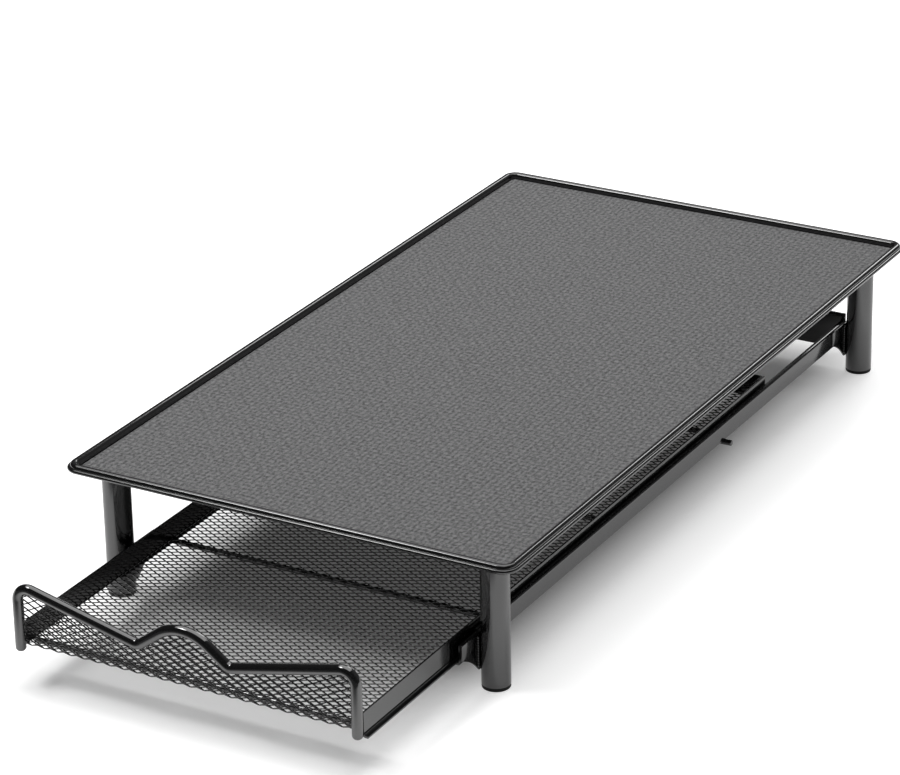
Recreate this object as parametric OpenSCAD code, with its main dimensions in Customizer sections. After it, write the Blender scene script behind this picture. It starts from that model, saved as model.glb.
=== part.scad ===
// Stand with a matted steel tray on four tube legs, and a wire-fronted mesh
// drawer that slides on rails beneath it.
// Z is up, the ground is at 0, and the drawer opens towards -Y.
// The origin is the middle of the footprint with the drawer part open.

/* [Tray] */
// Width of the tray over its rolled lip
tray_w = 228; // [190:1:280]
// Length of the tray over its rolled lip
tray_l = 415; // [345:1:500]
// Height of the rim's crest above the ground
tray_top = 67; // [62:0.5:90]
// Outer radius of the tray's corners
corner_r = 8; // [8:0.5:20]
// Thickness of the tray's sheet
sheet_t = 0.9; // [0.7:0.1:1.1]
// Depth of the recess from the rim's crest to the sheet
rim_rise = 4.9; // [4:0.1:6]
// Width of the folded bead on the rim
bead_w = 3.6; // [2.4:0.1:3.9]
// Distance that the rolled lip stands out past the bead
lip_out = 1.3; // [1:0.1:2]
// Diameter of the rolled lip
lip_d = 1.9; // [1.6:0.1:2.4]
// Height of the rim's crest above the middle of the rolled lip
lip_drop = 2.6; // [2.4:0.1:4]

/* [Mat] */
// Thickness of the mat
mat_t = 2; // [1:0.1:3]
// Gap between the mat's edge and the rim
mat_gap = 0.3; // [0.2:0.1:1]

/* [Legs] */
// Outer diameter of the leg tubes
leg_d = 13; // [12:0.5:16]
// Wall of the leg tubes
leg_wall = 1.2; // [1:0.1:1.5]
// Distance from the tray's edge to a leg's centre line
leg_inset = 17.6; // [17:0.1:24]
// Height of the foot cap's flange
cap_t = 1.6; // [1.2:0.1:3]
// Length of the foot cap's stem inside the tube
cap_stem = 7.5; // [5:0.5:12]
// Length of the threaded plug at the tube's top
plug_l = 13; // [10:0.5:20]
// Thread diameter of the leg screws
screw_d = 4; // [3:0.5:5]
// Head diameter of the leg screws
screw_head_d = 8.4; // [7:0.1:9]
// Length of a leg screw's shank under its head
screw_l = 11.5; // [9:0.5:13]

/* [Rails] */
// Height of a rail's underside above the ground
rail_z = 16; // [14:0.5:24]
// Height of a rail
rail_h = 9.4; // [8:0.1:14]
// Thickness of the rail's sheet
rail_t = 0.9; // [0.7:0.1:1.2]
// Width of the rail's lower ledge
ledge_w = 4; // [3.8:0.1:4]
// Width of the rail's upper lip
hold_w = 2.5; // [2:0.1:2.8]
// Thickness of the bracket plates
bracket_t = 1; // [0.8:0.1:1.5]
// Half length of a bracket, from its leg's centre line
bracket_half = 17.5; // [15:0.5:18]
// Height of the lowest point of a bracket above the ground
bracket_z = 7.5; // [5:0.5:10]
// Half length of a bracket's straight lower edge
bracket_foot = 3; // [2:0.5:5]
// Radius of a bracket's hollow lower edges
bracket_sweep = 34; // [30:1:60]
// Height of the rear plate's lower edge above the ground
plate_z = 10; // [7:0.5:12]
// Height of the rear plate
plate_h = 19.4; // [15:0.1:25]
// Thickness of the rear plate
plate_t = 1; // [0.8:0.1:1.5]

/* [Drawer] */
// Distance that the drawer stands open in this model
open_by = 87; // [0:1:220]
// Distance from the tray's front edge back to the shut drawer's front
front_setback = 10; // [9:0.5:12]
// Gap between the shut drawer and the rear plate
back_gap = 0.9; // [0.5:0.1:3]
// Running gap under the drawer's runners
run_gap = 0.2; // [0.1:0.05:0.4]
// Running gap beside the drawer's runners
side_gap = 0.35; // [0.2:0.05:0.8]
// Width of the runner flange on each side strip
runner_w = 2; // [1.8:0.1:2.2]
// Thickness of the side strips and the back strip
strip_t = 0.9; // [0.7:0.1:1.2]
// Height of the side strips and the back strip
strip_h = 11.7; // [10:0.1:20]
// Length of the cut-back at a side strip's front end
nose_l = 12; // [8:0.5:20]
// Height of that cut-back
nose_h = 1.9; // [1:0.1:3]
// Length of the back strip's end tabs
tab_l = 11; // [6:0.5:20]

/* [Mesh] */
// Thickness of the mesh sheets
mesh_t = 0.8; // [0.6:0.1:1.2]
// Height of the floor mesh above the runners' underside
mesh_lift = 1.2; // [1:0.1:2]
// Width of one strand of the front mesh
strand_w = 0.8; // [0.6:0.1:1.2]
// Number of diamonds across the front mesh
front_cells = 20; // [12:1:24]
// Height of a diamond in the front mesh
front_cell_h = 4.2; // [3.6:0.1:6]
// Number of diamonds across the floor mesh
floor_cells = 5; // [3:1:6]
// Number of diamonds along the floor mesh
floor_rows = 20; // [12:1:22]
// Width of one strand of the floor mesh
floor_strand_w = 1.6; // [1.2:0.1:2.4]
// Width of the plain edge round each mesh
selvedge = 1.2; // [1:0.1:3]

/* [Front wire] */
// Diameter of the front wire
wire_d = 4.8; // [4:0.1:5.8]
// Distance that the wire's uprights stand out past the side strips
wire_out = 0.8; // [0:0.1:1.2]
// Gap between the wire's lower tips and the rails' ledges when shut
tip_gap = 0.3; // [0.2:0.1:1]
// Height above the runners where the sloping top would meet the uprights
wave_end_h = 32.2; // [28:0.1:39]
// Height above the runners where the slopes would meet in each dip
wave_dip_h = 17.8; // [15:0.1:23]
// Distance of each dip from the middle
wave_dip_x = 22.6; // [20:0.1:35]
// Height above the runners where the slopes would meet over the middle hump
wave_peak_h = 34.6; // [28:0.1:39]
// Bend radius at the upper corners
bend_end_r = 6; // [5:0.5:10]
// Bend radius in the dips
bend_dip_r = 4.5; // [3:0.5:8]
// Bend radius over the hump
bend_peak_r = 20; // [10:0.5:22]

/* [Floor wires] */
// Diameter of the wires under the floor
floor_wire_d = 2.8; // [2:0.1:3]
// Number of plain cross wires ahead of the stop bar
cross_wires = 3; // [1:1:5]
// Distance from the drawer's front to the first cross wire
cross_inset = 12; // [8:1:30]
// Distance from the drawer's back to the stop bar
stop_inset = 49; // [40:1:60]
// Distance that the stop bar reaches out past the brackets
stop_out = 1.65; // [1:0.05:2.5]
// Gap between the stop bar and the rail above it
stop_gap = 0.4; // [0.3:0.05:1]
// Bend radius of the stop bar
stop_bend_r = 3; // [2:0.5:5]

/* [Hidden] */
$fn = 48;
black = [0.07, 0.07, 0.075];
seat = 0.05;
lap = 0.02;
cut = 1;
arc_steps = 6;
least_hole = 1 / 16;

// Tray heights and the bead's centre line, measured from a corner's centre
floor_top = tray_top - rim_rise;
floor_z = floor_top - sheet_t;
bead_r = bead_w / 2;
bead_x = corner_r - lip_out - bead_r;
bead_z = tray_top - bead_r;
inner_x = bead_x - bead_r;
lip_z = tray_top - lip_drop;

// Legs and what sits in their ends
leg_r = leg_d / 2;
leg_bore_r = leg_r - leg_wall;
leg_x = tray_w / 2 - leg_inset;
leg_y = tray_l / 2 - leg_inset;
legs = [for (sx = [-1, 1], sy = [-1, 1]) [sx * leg_x, sy * leg_y]];
screw_r = screw_d / 2;
head_r = screw_head_d / 2;
head_h = head_r - screw_r;
dimple_gap = 0.15;
dimple_t = 0.7;
dimple_z = floor_top - head_h - dimple_t;

// Brackets, rails and runners on the right-hand side, from the leg inwards
bracket_x = leg_x - leg_r - seat - bracket_t;
rail_x = bracket_x - rail_t;
ledge_x = bracket_x - ledge_w;
hold_x = bracket_x - hold_w;
runner_x = rail_x - side_gap;
strip_out_x = runner_x - runner_w;
strip_in_x = strip_out_x - strip_t;
rail_top = rail_z + rail_h;
runner_z = rail_z + rail_t + run_gap;
strip_top = runner_z + strip_h;
front_y = -tray_l / 2 + front_setback;
plate_y = leg_y - plate_t / 2;
rail_front = -leg_y - bracket_half;
rail_back = plate_y - seat;
hold_cut_back = 1;
hold_front = -leg_y - hold_cut_back;

// Drawer, placed where it is when shut
wire_r = wire_d / 2;
upright_x = strip_out_x + wire_out - wire_r;
wire_tip_z = rail_z + rail_t + tip_gap;
wave_end_z = runner_z + wave_end_h;
wave_dip_z = runner_z + wave_dip_h;
wave_peak_z = runner_z + wave_peak_h;
mesh_front_y = front_y + wire_r + seat;
floor_front_y = mesh_front_y + mesh_t + seat;
strip_front_y = front_y + wire_r;
back_y = plate_y - back_gap;
back_front_y = back_y - strip_t;
mesh_z = runner_z + mesh_lift;
panel_x = strip_in_x - seat;
floor_wire_r = floor_wire_d / 2;
floor_wire_z = mesh_z - floor_wire_r - lap;
stop_z = rail_z - stop_gap - floor_wire_r;
stop_y = back_y - stop_inset;
cross_front_y = front_y + cross_inset;
cross_pitch = (stop_y - cross_front_y) / cross_wires;

// The whole model is moved so that the origin is the footprint's middle
shift_y = -(front_y - open_by - wire_r + tray_l / 2) / 2;

// Outline of the front wire's centre line
wave = [
  [-upright_x, wire_tip_z + wire_r], [-upright_x, wave_end_z],
  [-wave_dip_x, wave_dip_z], [0, wave_peak_z], [wave_dip_x, wave_dip_z],
  [upright_x, wave_end_z], [upright_x, wire_tip_z + wire_r]
];
wave_r = [0, bend_end_r, bend_dip_r, bend_peak_r, bend_dip_r, bend_end_r, 0];
end_slope = (wave_end_z - wave_dip_z) / (upright_x - wave_dip_x);
peak_slope = (wave_peak_z - wave_dip_z) / wave_dip_x;
peak_arc_z = wave_peak_z - bend_peak_r * sqrt(1 + peak_slope * peak_slope);

// Centre line of the stop bar, drawn across the drawer
knee_gap = 2;
joggle_slope = 1.6;
stop_tip_x = bracket_x + bracket_t + stop_out;
stop_knee_x = ledge_x - knee_gap;
stop_rise = floor_wire_z - stop_z;
joggle_x = stop_knee_x - joggle_slope * stop_rise;
stop_path = [
  [-stop_tip_x, stop_z], [-stop_knee_x, stop_z], [-joggle_x, floor_wire_z],
  [joggle_x, floor_wire_z], [stop_knee_x, stop_z], [stop_tip_x, stop_z]
];
stop_r = [0, stop_bend_r, stop_bend_r, stop_bend_r, stop_bend_r, 0];

function unit(v) = v / norm(v);
function bearing(v) = atan2(v[1], v[0]);

// Half the angle inside the corner at point i of a path
function half_corner(path, i) =
  acos(unit(path[i - 1] - path[i]) * unit(path[i + 1] - path[i])) / 2;

// Distance from a corner to where its bend starts
function bend_length(path, radii, i) =
  radii[i] == 0 ? 0 : radii[i] / tan(half_corner(path, i));

// Centre of the bend at point i
function bend_centre(path, radii, i) =
  path[i] + unit(unit(path[i - 1] - path[i]) + unit(path[i + 1] - path[i]))
    * radii[i] / sin(half_corner(path, i));

// Start and end of the straight run that leaves point i
function run_start(path, radii, i) =
  path[i] + unit(path[i + 1] - path[i]) * bend_length(path, radii, i);
function run_end(path, radii, i) =
  path[i + 1] - unit(path[i + 1] - path[i]) * bend_length(path, radii, i + 1);

// Turn from one bearing to another by the shorter way
function turn(a, b) = (b - a + 540) % 360 - 180;

// Points along the bend at point i
function bend_points(path, radii, i) =
  let (c = bend_centre(path, radii, i))
  let (a = bearing(run_end(path, radii, i - 1) - c))
  let (sweep = turn(a, bearing(run_start(path, radii, i) - c)))
  [for (k = [0 : arc_steps]) c + radii[i] * [cos(a + sweep * k / arc_steps), sin(a + sweep * k / arc_steps)]];

// Height of the wire's centre line at a distance x from the middle
function wave_z(x) =
  abs(x) > wave_dip_x
    ? wave_dip_z + (abs(x) - wave_dip_x) * end_slope
    : min(
        wave_dip_z + (wave_dip_x - abs(x)) * peak_slope,
        peak_arc_z + sqrt(max(bend_peak_r * bend_peak_r - x * x, 0))
      );

// Slope of the wire's centre line at a distance x from the middle
function wave_slope(x) =
  let (side = x < 0 ? -1 : 1)
  abs(x) > wave_dip_x
    ? side * end_slope
    : -side * min(peak_slope, abs(x) / sqrt(max(bend_peak_r * bend_peak_r - x * x, 0.01)));

// Centres of the diamonds of a mesh: alternate rows are half a cell across
function cell_centres(w, h, cols, rows) = [
  for (row = [0 : rows], col = [0 : cols - row % 2])
    [(col - cols / 2 + (row % 2) / 2) * w, row * h / 2]
];

// One diamond of a mesh, drawn in by half a strand on every side
function diamond(c, w, h, strand) =
  let (d = norm([w, h]) * strand / 2)
  [
    [c[0] - w / 2 + d / h, c[1]], [c[0], c[1] - h / 2 + d / w],
    [c[0] + w / 2 - d / h, c[1]], [c[0], c[1] + h / 2 - d / w]
  ];

// What is left of a convex outline on the near side of the line through p square to n
function clip(shape, p, n) = [
  for (i = [0 : 1 : len(shape) - 1])
    let (a = shape[i], b = shape[(i + 1) % len(shape)])
    let (da = (a - p) * n, db = (b - p) * n)
    each concat(
      da <= 0 ? [a] : [],
      da * db < 0 ? [a + (b - a) * da / (da - db)] : []
    )
];

// A shape cut to a rectangle from corner a to corner b
function clip_box(shape, a, b) =
  clip(clip(clip(clip(shape, a, [-1, 0]), a, [0, -1]), b, [1, 0]), b, [0, 1]);

function area(shape) =
  len(shape) < 3 ? 0 : abs([
    for (i = [0 : len(shape) - 1])
      let (a = shape[i], b = shape[(i + 1) % len(shape)]) a[0] * b[1] - b[0] * a[1]
  ] * [for (p = shape) 0.5]);

// A rod of straight runs and true bends, drawn flat and then stood upright.
// A ball a hair wider than the rod joins each run to its bend.
module bent_rod(path, radii, d) {
  last = len(path) - 1;
  rotate([90, 0, 0])
    union() {
      for (i = [0 : last - 1])
        straight_run(
          run_start(path, radii, i), run_end(path, radii, i), d,
          i == 0 ? 0 : seat, i == last - 1 ? 0 : seat
        );
      for (i = [1 : last - 1])
        bend(path, radii, i, d);
    }
}

module straight_run(a, b, d, start_gap, end_gap) {
  translate([a[0], a[1], 0])
    rotate([0, 0, bearing(b - a)])
      translate([start_gap, 0, 0])
        rotate([0, 90, 0])
          cylinder(h = norm(b - a) - start_gap - end_gap, d = d);
}

module bend(path, radii, i, d) {
  c = bend_centre(path, radii, i);
  a = bearing(run_end(path, radii, i - 1) - c);
  b = bearing(run_start(path, radii, i) - c);
  sweep = turn(a, b);
  translate([c[0], c[1], 0])
    rotate([0, 0, sweep > 0 ? a : b]) {
      rotate_extrude(angle = abs(sweep))
        translate([radii[i], 0])
          circle(d = d);
      for (t = [0, abs(sweep)])
        rotate(t)
          translate([radii[i], 0, 0])
            sphere(d = d + lap);
    }
}

// A sheet with diamond openings, drawn as one outline with its holes
module net(outline, holes, t) {
  first = len(outline);
  starts = [for (i = 0, at = first; i < len(holes); at = at + len(holes[i]), i = i + 1) at];
  points = concat(outline, [for (hole = holes) for (p = hole) p]);
  paths = concat(
    [[for (k = [0 : first - 1]) k]],
    [for (h = [0 : len(holes) - 1]) [for (k = [0 : len(holes[h]) - 1]) starts[h] + k]]
  );
  linear_extrude(t)
    polygon(points = points, paths = paths);
}

module round_rect(w, l, r) {
  square([w - 2 * r, l], center = true);
  square([w, l - 2 * r], center = true);
  for (x = [-1, 1], y = [-1, 1])
    translate([x * (w / 2 - r), y * (l / 2 - r)])
      circle(r);
}

// Section of the tray's rim: inner wall, folded bead, outer wall and rolled lip
module rim_section() {
  translate([inner_x, floor_z])
    square([sheet_t, bead_z - floor_z]);
  translate([bead_x + bead_r - sheet_t, lip_z])
    square([sheet_t, bead_z - lip_z]);
  translate([bead_x, bead_z])
    intersection() {
      difference() {
        circle(bead_r);
        circle(bead_r - sheet_t);
      }
      translate([-bead_r, 0])
        square([bead_w, bead_r]);
    }
  translate([corner_r - lip_d / 2, lip_z])
    circle(d = lip_d);
}

module rim_side(run) {
  rotate([90, 0, 0])
    linear_extrude(run, center = true)
      rim_section();
}

module on_legs() {
  for (p = legs)
    translate([p[0], p[1], 0])
      children();
}

module top_tray() {
  straight_w = tray_w - 2 * corner_r;
  straight_l = tray_l - 2 * corner_r;
  color(black)
    translate([0, shift_y, 0])
      difference() {
        union() {
          for (s = [0, 1]) {
            rotate(180 * s)
              translate([straight_w / 2, 0, 0])
                rim_side(straight_l);
            rotate(90 + 180 * s)
              translate([straight_l / 2, 0, 0])
                rim_side(straight_w);
          }
          for (k = [0 : 3])
            translate([[1, -1, -1, 1][k] * straight_w / 2, [1, 1, -1, -1][k] * straight_l / 2, 0])
              rotate(90 * k)
                rotate_extrude(angle = 90)
                  rim_section();
          translate([0, 0, floor_z])
            linear_extrude(sheet_t)
              round_rect(
                straight_w + 2 * inner_x + sheet_t, straight_l + 2 * inner_x + sheet_t,
                inner_x + sheet_t / 2
              );
          on_legs()
            dimple_outside();
        }
        on_legs()
          dimple_inside();
      }
}

// The sheet is pressed down round each leg screw to take its head
module dimple_outside() {
  depth = floor_z - dimple_z;
  r_low = screw_r + dimple_gap + dimple_t;
  translate([0, 0, dimple_z])
    cylinder(h = depth + sheet_t / 2, r1 = r_low, r2 = r_low + depth + sheet_t / 2);
}

module dimple_inside() {
  translate([0, 0, floor_top - head_h])
    cylinder(h = head_h + cut, r1 = screw_r + dimple_gap, r2 = head_r + dimple_gap + cut);
  translate([0, 0, dimple_z - cut])
    cylinder(h = dimple_t + 2 * cut, r = screw_r + dimple_gap);
}

module top_mat() {
  mat_r = inner_x - mat_gap;
  color([0.42, 0.42, 0.43])
    translate([0, shift_y, floor_top])
      linear_extrude(mat_t)
        round_rect(tray_w - 2 * (corner_r - mat_r), tray_l - 2 * (corner_r - mat_r), mat_r);
}

module at_leg(sx, sy) {
  translate([sx * leg_x, sy * leg_y + shift_y, 0])
    children();
}

module leg(sx, sy) {
  color(black)
    at_leg(sx, sy)
      translate([0, 0, cap_t])
        difference() {
          cylinder(h = floor_z - cap_t, r = leg_r);
          translate([0, 0, -cut])
            cylinder(h = floor_z - cap_t + 2 * cut, r = leg_bore_r);
        }
}

// Moulded cap with a chamfered tread and a hollow stem inside the tube
module foot_cap(sx, sy) {
  chamfer = 0.5;
  stem_wall = 1.3;
  stem_r = leg_bore_r - seat;
  hollow_r = stem_r - stem_wall;
  color([0.05, 0.05, 0.05])
    at_leg(sx, sy)
      rotate_extrude()
        polygon([
          [0, 0], [leg_r - chamfer, 0], [leg_r, chamfer], [leg_r, cap_t],
          [stem_r, cap_t], [stem_r, cap_t + cap_stem - chamfer],
          [stem_r - chamfer, cap_t + cap_stem], [hollow_r, cap_t + cap_stem],
          [hollow_r, cap_t], [0, cap_t]
        ]);
}

module leg_plug(sx, sy) {
  top = dimple_z - seat;
  color([0.6, 0.6, 0.6])
    at_leg(sx, sy)
      translate([0, 0, top - plug_l])
        difference() {
          cylinder(h = plug_l, r = leg_bore_r - seat);
          translate([0, 0, -cut])
            cylinder(h = plug_l + 2 * cut, r = screw_r + seat);
        }
}

// Countersunk screws with a cross recess, flush with the tray under the mat
module leg_screws() {
  recess = [0.9, 4, 2.4];
  color([0.6, 0.6, 0.6])
    for (sx = [-1, 1], sy = [-1, 1])
      at_leg(sx, sy)
        translate([0, 0, floor_top - head_h])
          difference() {
            union() {
              cylinder(h = head_h - seat, r1 = screw_r, r2 = head_r - seat);
              translate([0, 0, -screw_l])
                cylinder(h = screw_l + seat, r = screw_r);
            }
            for (a = [0, 90])
              rotate(a)
                translate([0, 0, head_h])
                  cube(recess, center = true);
          }
}

// Folded channel: a ledge that carries the runner, and a lip that holds it down
module rail(side) {
  color(black)
    translate([0, shift_y, 0])
      difference() {
        translate([0, rail_back, 0])
          rotate([90, 0, 0])
            linear_extrude(rail_back - rail_front)
              rail_section(side);
        translate([side > 0 ? hold_x - cut : -rail_x, rail_front - cut, rail_top - rail_t - cut])
          cube([rail_x - hold_x + cut, hold_front - rail_front + cut, rail_t + 2 * cut]);
      }
}

module rail_section(side) {
  outline = [
    [bracket_x, rail_z], [bracket_x, rail_top], [hold_x, rail_top], [hold_x, rail_top - rail_t],
    [rail_x, rail_top - rail_t], [rail_x, rail_z + rail_t], [ledge_x, rail_z + rail_t], [ledge_x, rail_z]
  ];
  polygon([for (p = outline) [side * p[0], p[1]]]);
}

// Gusset plate between rail and leg, with hollow lower edges and two weld beads
module bracket(side, sy) {
  weld_r = 0.5;
  weld_x = bracket_x + bracket_t + weld_r - lap;
  weld_y = sqrt(pow(leg_r + weld_r + seat, 2) - pow(leg_x - weld_x, 2));
  weld_low = bracket_z + 2.5;
  weld_high = rail_top - 1.5;
  color(black)
    translate([0, sy * leg_y + shift_y, 0]) {
      translate([side > 0 ? bracket_x : -bracket_x - bracket_t, 0, 0])
        rotate([90, 0, 90])
          linear_extrude(bracket_t)
            bracket_outline();
      for (y = [-1, 1])
        translate([side * weld_x, y * weld_y, weld_low])
          cylinder(h = weld_high - weld_low, r = weld_r);
    }
}

// The hollow edge is an arc whose centre lies outside the plate
module bracket_outline() {
  upright_edge = 2;
  corner = [bracket_half, rail_z + upright_edge];
  foot = [bracket_foot, bracket_z];
  middle = (corner + foot) / 2;
  chord = corner - foot;
  drop = sqrt(bracket_sweep * bracket_sweep - chord * chord / 4);
  centre = middle + unit([chord[1], -chord[0]]) * drop;
  a = bearing(corner - centre);
  sweep = turn(a, bearing(foot - centre));
  edge = [
    for (k = [0 : arc_steps])
      centre + bracket_sweep * [cos(a + sweep * k / arc_steps), sin(a + sweep * k / arc_steps)]
  ];
  mirrored = [for (k = [arc_steps : -1 : 0]) [-edge[k][0], edge[k][1]]];
  polygon(concat([[-bracket_half, rail_top], [bracket_half, rail_top]], edge, mirrored));
}

module rear_plate() {
  span = 2 * (bracket_x - seat);
  color(black)
    translate([-span / 2, plate_y + shift_y, plate_z])
      cube([span, plate_t, plate_h]);
}

// Everything on the drawer is placed shut, then drawn out to where it stands
module in_drawer() {
  translate([0, shift_y - open_by, 0])
    children();
}

module front_wire() {
  color(black)
    in_drawer()
      translate([0, front_y, 0]) {
        bent_rod(wave, wave_r, wire_d);
        for (x = [-upright_x, upright_x])
          translate([x, 0, wire_tip_z + wire_r])
            sphere(r = wire_r - seat);
      }
}

module front_mesh() {
  outline = concat(
    [[-upright_x, mesh_z]],
    [for (i = [1 : len(wave) - 2]) for (p = bend_points(wave, wave_r, i)) p],
    [[upright_x, mesh_z]]
  );
  wire_margin = 0.3;
  clear = wire_r + wire_margin;
  low = [-upright_x + clear, mesh_z + selvedge];
  high = [upright_x - clear, wave_end_z - clear];
  cell_w = 2 * high[0] / front_cells;
  rows = ceil(2 * (high[1] - low[1]) / front_cell_h);
  holes = [
    for (c = cell_centres(cell_w, front_cell_h, front_cells, rows))
      let (p = c + [0, low[1]])
      let (normal = unit([-wave_slope(p[0]), 1]))
      let (edge = [p[0], wave_z(p[0])] - clear * normal)
      let (hole = clip(clip_box(diamond(p, cell_w, front_cell_h, strand_w), low, high), edge, normal))
      if (area(hole) > cell_w * front_cell_h * least_hole) hole
  ];
  color(black)
    in_drawer()
      translate([0, mesh_front_y + mesh_t, 0])
        rotate([90, 0, 0])
          net(outline, holes, mesh_t);
}

// Side strip with an outward runner flange that starts behind the cut-back nose
module drawer_side(side) {
  length = back_y - strip_front_y;
  color(black)
    in_drawer() {
      translate([side > 0 ? strip_in_x : -strip_out_x, strip_front_y, runner_z + nose_h])
        cube([strip_t, length, strip_h - nose_h]);
      translate([side > 0 ? strip_in_x : -strip_out_x, strip_front_y + nose_l, runner_z])
        cube([strip_t, length - nose_l, nose_h + lap]);
      translate([side > 0 ? strip_in_x : -runner_x, strip_front_y + nose_l, runner_z])
        cube([strip_t + runner_w, length - nose_l, strip_t]);
    }
}

// Back strip with tabs folded forward along the side strips, above the mesh
module drawer_back() {
  tab_z = mesh_z + mesh_t + seat;
  color(black)
    in_drawer() {
      translate([-panel_x, back_front_y, runner_z])
        cube([2 * panel_x, strip_t, strip_h]);
      for (x = [-panel_x, panel_x - strip_t])
        translate([x, back_front_y - tab_l, tab_z])
          cube([strip_t, tab_l + lap, strip_top - tab_z]);
    }
}

module floor_mesh() {
  back = back_front_y - seat;
  outline = [
    [-panel_x, floor_front_y], [-panel_x, back], [panel_x, back], [panel_x, floor_front_y]
  ];
  low = outline[0] + [selvedge, selvedge];
  high = outline[2] - [selvedge, selvedge];
  cell_w = (high[0] - low[0]) / floor_cells;
  cell_l = (high[1] - low[1]) / floor_rows;
  holes = [
    for (c = cell_centres(cell_w, cell_l, floor_cells, 2 * floor_rows))
      let (hole = clip_box(diamond(c + [0, low[1]], cell_w, cell_l, floor_strand_w), low, high))
      if (area(hole) > cell_w * cell_l * least_hole) hole
  ];
  color(black)
    in_drawer()
      translate([0, 0, mesh_z])
        net(outline, holes, mesh_t);
}

module floor_cross_wires() {
  half = panel_x - seat;
  color(black)
    in_drawer()
      for (k = [0 : cross_wires - 1])
        translate([-half, cross_front_y + k * cross_pitch, floor_wire_z])
          rotate([0, 90, 0])
            cylinder(h = 2 * half, r = floor_wire_r);
}

// Joggled bar: its ends pass under the rails and meet the front brackets
module stop_bar() {
  color(black)
    in_drawer()
      translate([0, stop_y, 0])
        bent_rod(stop_path, stop_r, floor_wire_d);
}

top_tray();
top_mat();
leg(-1, -1);  // leg_front_left
leg(1, -1);  // leg_front_right
leg(-1, 1);  // leg_rear_left
leg(1, 1);  // leg_rear_right
foot_cap(-1, -1);  // foot_cap_front_left
foot_cap(1, -1);  // foot_cap_front_right
foot_cap(-1, 1);  // foot_cap_rear_left
foot_cap(1, 1);  // foot_cap_rear_right
leg_plug(-1, -1);  // leg_plug_front_left
leg_plug(1, -1);  // leg_plug_front_right
leg_plug(-1, 1);  // leg_plug_rear_left
leg_plug(1, 1);  // leg_plug_rear_right
leg_screws();
rail(-1);  // rail_left
rail(1);  // rail_right
bracket(-1, -1);  // bracket_front_left
bracket(1, -1);  // bracket_front_right
bracket(-1, 1);  // bracket_rear_left
bracket(1, 1);  // bracket_rear_right
rear_plate();
front_wire();
front_mesh();
drawer_side(-1);  // drawer_side_left
drawer_side(1);  // drawer_side_right
drawer_back();
floor_mesh();
floor_cross_wires();
stop_bar();
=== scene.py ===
from math import atan2, ceil, cos, pi, radians, sin, sqrt, tan

import bmesh
import bpy
from mathutils import Matrix, Vector


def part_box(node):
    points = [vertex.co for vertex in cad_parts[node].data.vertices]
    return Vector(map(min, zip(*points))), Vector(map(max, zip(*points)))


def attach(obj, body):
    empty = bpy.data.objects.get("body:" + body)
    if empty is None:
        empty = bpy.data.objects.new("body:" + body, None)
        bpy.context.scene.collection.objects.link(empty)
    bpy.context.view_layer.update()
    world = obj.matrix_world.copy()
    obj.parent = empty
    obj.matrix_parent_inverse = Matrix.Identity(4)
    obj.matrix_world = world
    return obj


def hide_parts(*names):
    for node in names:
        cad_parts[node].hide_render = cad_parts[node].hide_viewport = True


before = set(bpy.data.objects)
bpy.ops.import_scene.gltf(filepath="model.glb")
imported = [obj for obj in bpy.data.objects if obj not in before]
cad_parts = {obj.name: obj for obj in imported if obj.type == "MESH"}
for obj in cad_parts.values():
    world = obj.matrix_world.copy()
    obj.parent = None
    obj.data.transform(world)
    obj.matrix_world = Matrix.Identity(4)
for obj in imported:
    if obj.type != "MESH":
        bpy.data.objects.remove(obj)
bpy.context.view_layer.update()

mm = 0.001


# ---- Studio ----
# A pale seamless floor under soft lamps, and the camera at the photograph's angle.
# The floor shows white by itself, and the object's shadow still falls on it. A painted shadow
# darkens it under the object, and in reflections the floor far in front is painted dark.
def aim(thing, place, turn):
    thing.matrix_world = Matrix.Translation(place) @ turn.to_4x4()


def towards(place, target):
    return (Vector(target) - Vector(place)).to_track_quat("-Z", "Y").to_matrix()


camera = bpy.data.objects.new("camera", bpy.data.cameras.new("camera"))
camera.data.sensor_width = 36
camera.data.lens = 154.81
camera.data.clip_start = 0.1
camera.data.clip_end = 40
camera_azimuth = radians(29.934)
camera_pitch = radians(23.899)
camera_roll = radians(-1.108)
aim(
    camera,
    (0.8129, -1.4295, 0.7900),
    Matrix.Rotation(camera_azimuth, 3, "Z")
    @ Matrix.Rotation(pi / 2 - camera_pitch, 3, "X")
    @ Matrix.Rotation(camera_roll, 3, "Z"),
)
bpy.context.scene.collection.objects.link(camera)
bpy.context.scene.camera = camera


def softbox(name, place, target, width, height, watts):
    lamp = bpy.data.lights.new(name, "AREA")
    lamp.shape = "RECTANGLE"
    lamp.size = width
    lamp.size_y = height
    lamp.energy = watts
    holder = bpy.data.objects.new(name, lamp)
    aim(holder, place, towards(place, target))
    bpy.context.scene.collection.objects.link(holder)


softbox("overhead_softbox", (-0.35, 0.35, 1.62), (-0.35, 0.35, 0), 2.0, 2.2, 27)
softbox("key_softbox", (-0.86, -0.68, 1.66), (0, -0.1, 0.04), 0.5, 0.4, 9)
softbox("rear_softbox", (-0.2, 1.75, 1.12), (0, 0, 0.04), 0.5, 0.8, 6)


def node_material(name):
    """A new node material; returns it with its tree and its shader."""
    made = bpy.data.materials.new(name)
    made.use_nodes = True
    return made, made.node_tree, made.node_tree.nodes["Principled BSDF"]


def sum_up(tree, operation, first, second=None, third=None):
    """A Math node whose inputs are sockets or numbers; returns its result."""
    node = tree.nodes.new("ShaderNodeMath")
    node.operation = operation
    for socket, value in zip(node.inputs, (first, second, third)):
        if isinstance(value, bpy.types.NodeSocket):
            tree.links.new(value, socket)
        elif value is not None:
            socket.default_value = value
    return node.outputs[0]


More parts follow.
